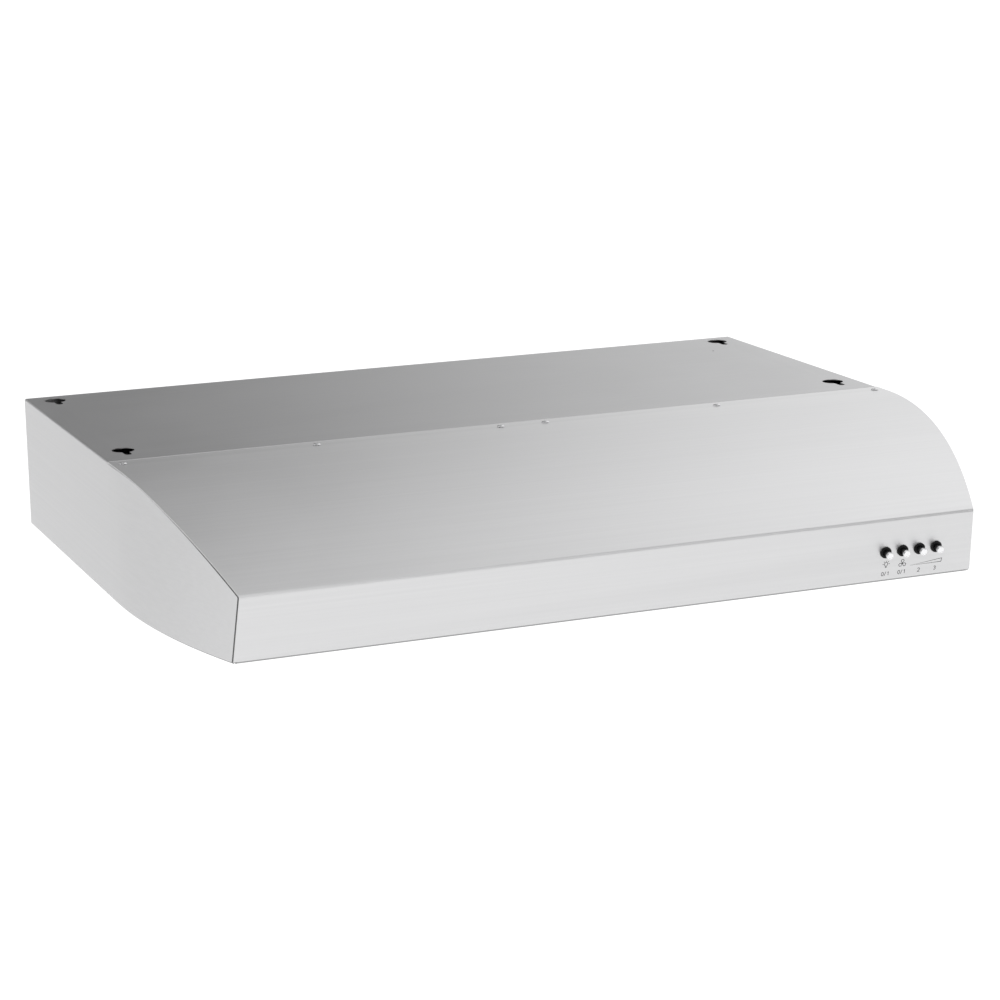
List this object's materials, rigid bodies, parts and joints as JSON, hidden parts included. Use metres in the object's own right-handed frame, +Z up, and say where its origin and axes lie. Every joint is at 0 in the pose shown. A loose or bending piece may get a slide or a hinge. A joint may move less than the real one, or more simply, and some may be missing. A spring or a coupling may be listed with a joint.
{
  "type": "under cabinet range hood",
  "caption": "Slim under cabinet range hood: folded steel canopy with curved front, push buttons, rear duct outlet, swing-down grease filters, lamps and a centrifugal blower.",
  "frame": {"origin": "upper face of the top plate, in the middle of its four keyholes", "axes": "+X to the right seen from the front, +Y to the wall behind, +Z up towards the cabinet"},
  "size_m": [0.76, 0.5814, 0.1255],
  "materials": {
    "stainless": "brushed",
    "galvanised": "satin zinc coat",
    "aluminium": "satin",
    "chrome": "polished",
    "steel_rod": "bright",
    "black_plastic": "semi gloss",
    "grey_plastic": "matte",
    "motor_paint": "semi gloss",
    "lamp_glass": "frosted",
    "cable_jacket": "matte"
  },
  "bodies": {
    "canopy": {"top_shell": "stainless", "front_panel": "stainless", "rear_panel": "stainless", "underside_pan": "stainless", "lamp_can_left": "stainless", "lamp_can_right": "stainless", "scroll_band": "galvanised", "scroll_top": "galvanised", "scroll_inlet_plate": "galvanised", "motor_bracket": "galvanised", "duct_collar": "galvanised", "wiring_box": "galvanised", "wiring_box_cover": "galvanised", "panel_rivet_1": "steel_rod", "panel_rivet_2": "steel_rod", "panel_rivet_3": "steel_rod", "panel_rivet_4": "steel_rod", "panel_rivet_5": "steel_rod", "panel_rivet_6": "steel_rod", "button_collar_1": "black_plastic", "button_collar_2": "black_plastic", "button_collar_3": "black_plastic", "button_collar_4": "black_plastic", "capacitor": "black_plastic", "switch_block": "grey_plastic", "terminal_block": "grey_plastic", "cable_clamp": "grey_plastic", "motor": "motor_paint", "lamp_lens_left": "lamp_glass", "lamp_lens_right": "lamp_glass", "lamp_bulb_left": "lamp_glass", "lamp_bulb_right": "lamp_glass", "supply_lead": "cable_jacket", "motor_lead": "cable_jacket", "lamp_lead_left": "cable_jacket", "lamp_lead_right": "cable_jacket"},
    "blower": {"blower_wheel": "galvanised", "motor_shaft": "steel_rod"},
    "damper": {"damper_flap": "galvanised"},
    "filter_left": {"filter_frame_left": "aluminium", "filter_mesh_left": "aluminium"},
    "latch_left": {"filter_latch_left": "steel_rod"},
    "filter_right": {"filter_frame_right": "aluminium", "filter_mesh_right": "aluminium"},
    "latch_right": {"filter_latch_right": "steel_rod"},
    "button_1": {"button_stem_1": "steel_rod", "button_cap_1": "chrome"},
    "button_2": {"button_stem_2": "steel_rod", "button_cap_2": "chrome"},
    "button_3": {"button_stem_3": "steel_rod", "button_cap_3": "chrome"},
    "button_4": {"button_stem_4": "steel_rod", "button_cap_4": "chrome"}
  },
  "joints": [
    {"name": "blower_spin", "type": "hinge", "parent": "canopy", "child": "blower", "pos_m": [-0.05, 0, -0.05], "axis": [0, 0, 1], "continuous": true},
    {"name": "damper_swing", "type": "hinge", "parent": "canopy", "child": "damper", "pos_m": [0, 0.153, -0.012], "axis": [1, 0, 0], "range_deg": [0, 75]},
    {"name": "filter_left_swing", "type": "hinge", "parent": "canopy", "child": "filter_left", "pos_m": [-0.177, 0.0878, -0.113], "axis": [1, 0, 0], "range_deg": [0, 70]},
    {"name": "latch_left_slide", "type": "slide", "parent": "filter_left", "child": "latch_left", "axis": [0, 1, 0], "range_m": [0, 0.005], "stiffness_N_per_m": 300},
    {"name": "filter_right_swing", "type": "hinge", "parent": "canopy", "child": "filter_right", "pos_m": [0.177, 0.0878, -0.113], "axis": [1, 0, 0], "range_deg": [0, 70]},
    {"name": "latch_right_slide", "type": "slide", "parent": "filter_right", "child": "latch_right", "axis": [0, 1, 0], "range_m": [0, 0.005], "stiffness_N_per_m": 300},
    {"name": "button_1_push", "type": "slide", "parent": "canopy", "child": "button_1", "axis": [0, 0.9828, 0.1848], "range_m": [0, 0.003], "stiffness_N_per_m": 400},
    {"name": "button_2_push", "type": "slide", "parent": "canopy", "child": "button_2", "axis": [0, 0.9828, 0.1848], "range_m": [0, 0.003], "stiffness_N_per_m": 400},
    {"name": "button_3_push", "type": "slide", "parent": "canopy", "child": "button_3", "axis": [0, 0.9828, 0.1848], "range_m": [0, 0.003], "stiffness_N_per_m": 400},
    {"name": "button_4_push", "type": "slide", "parent": "canopy", "child": "button_4", "axis": [0, 0.9828, 0.1848], "range_m": [0, 0.003], "stiffness_N_per_m": 400}
  ]
}
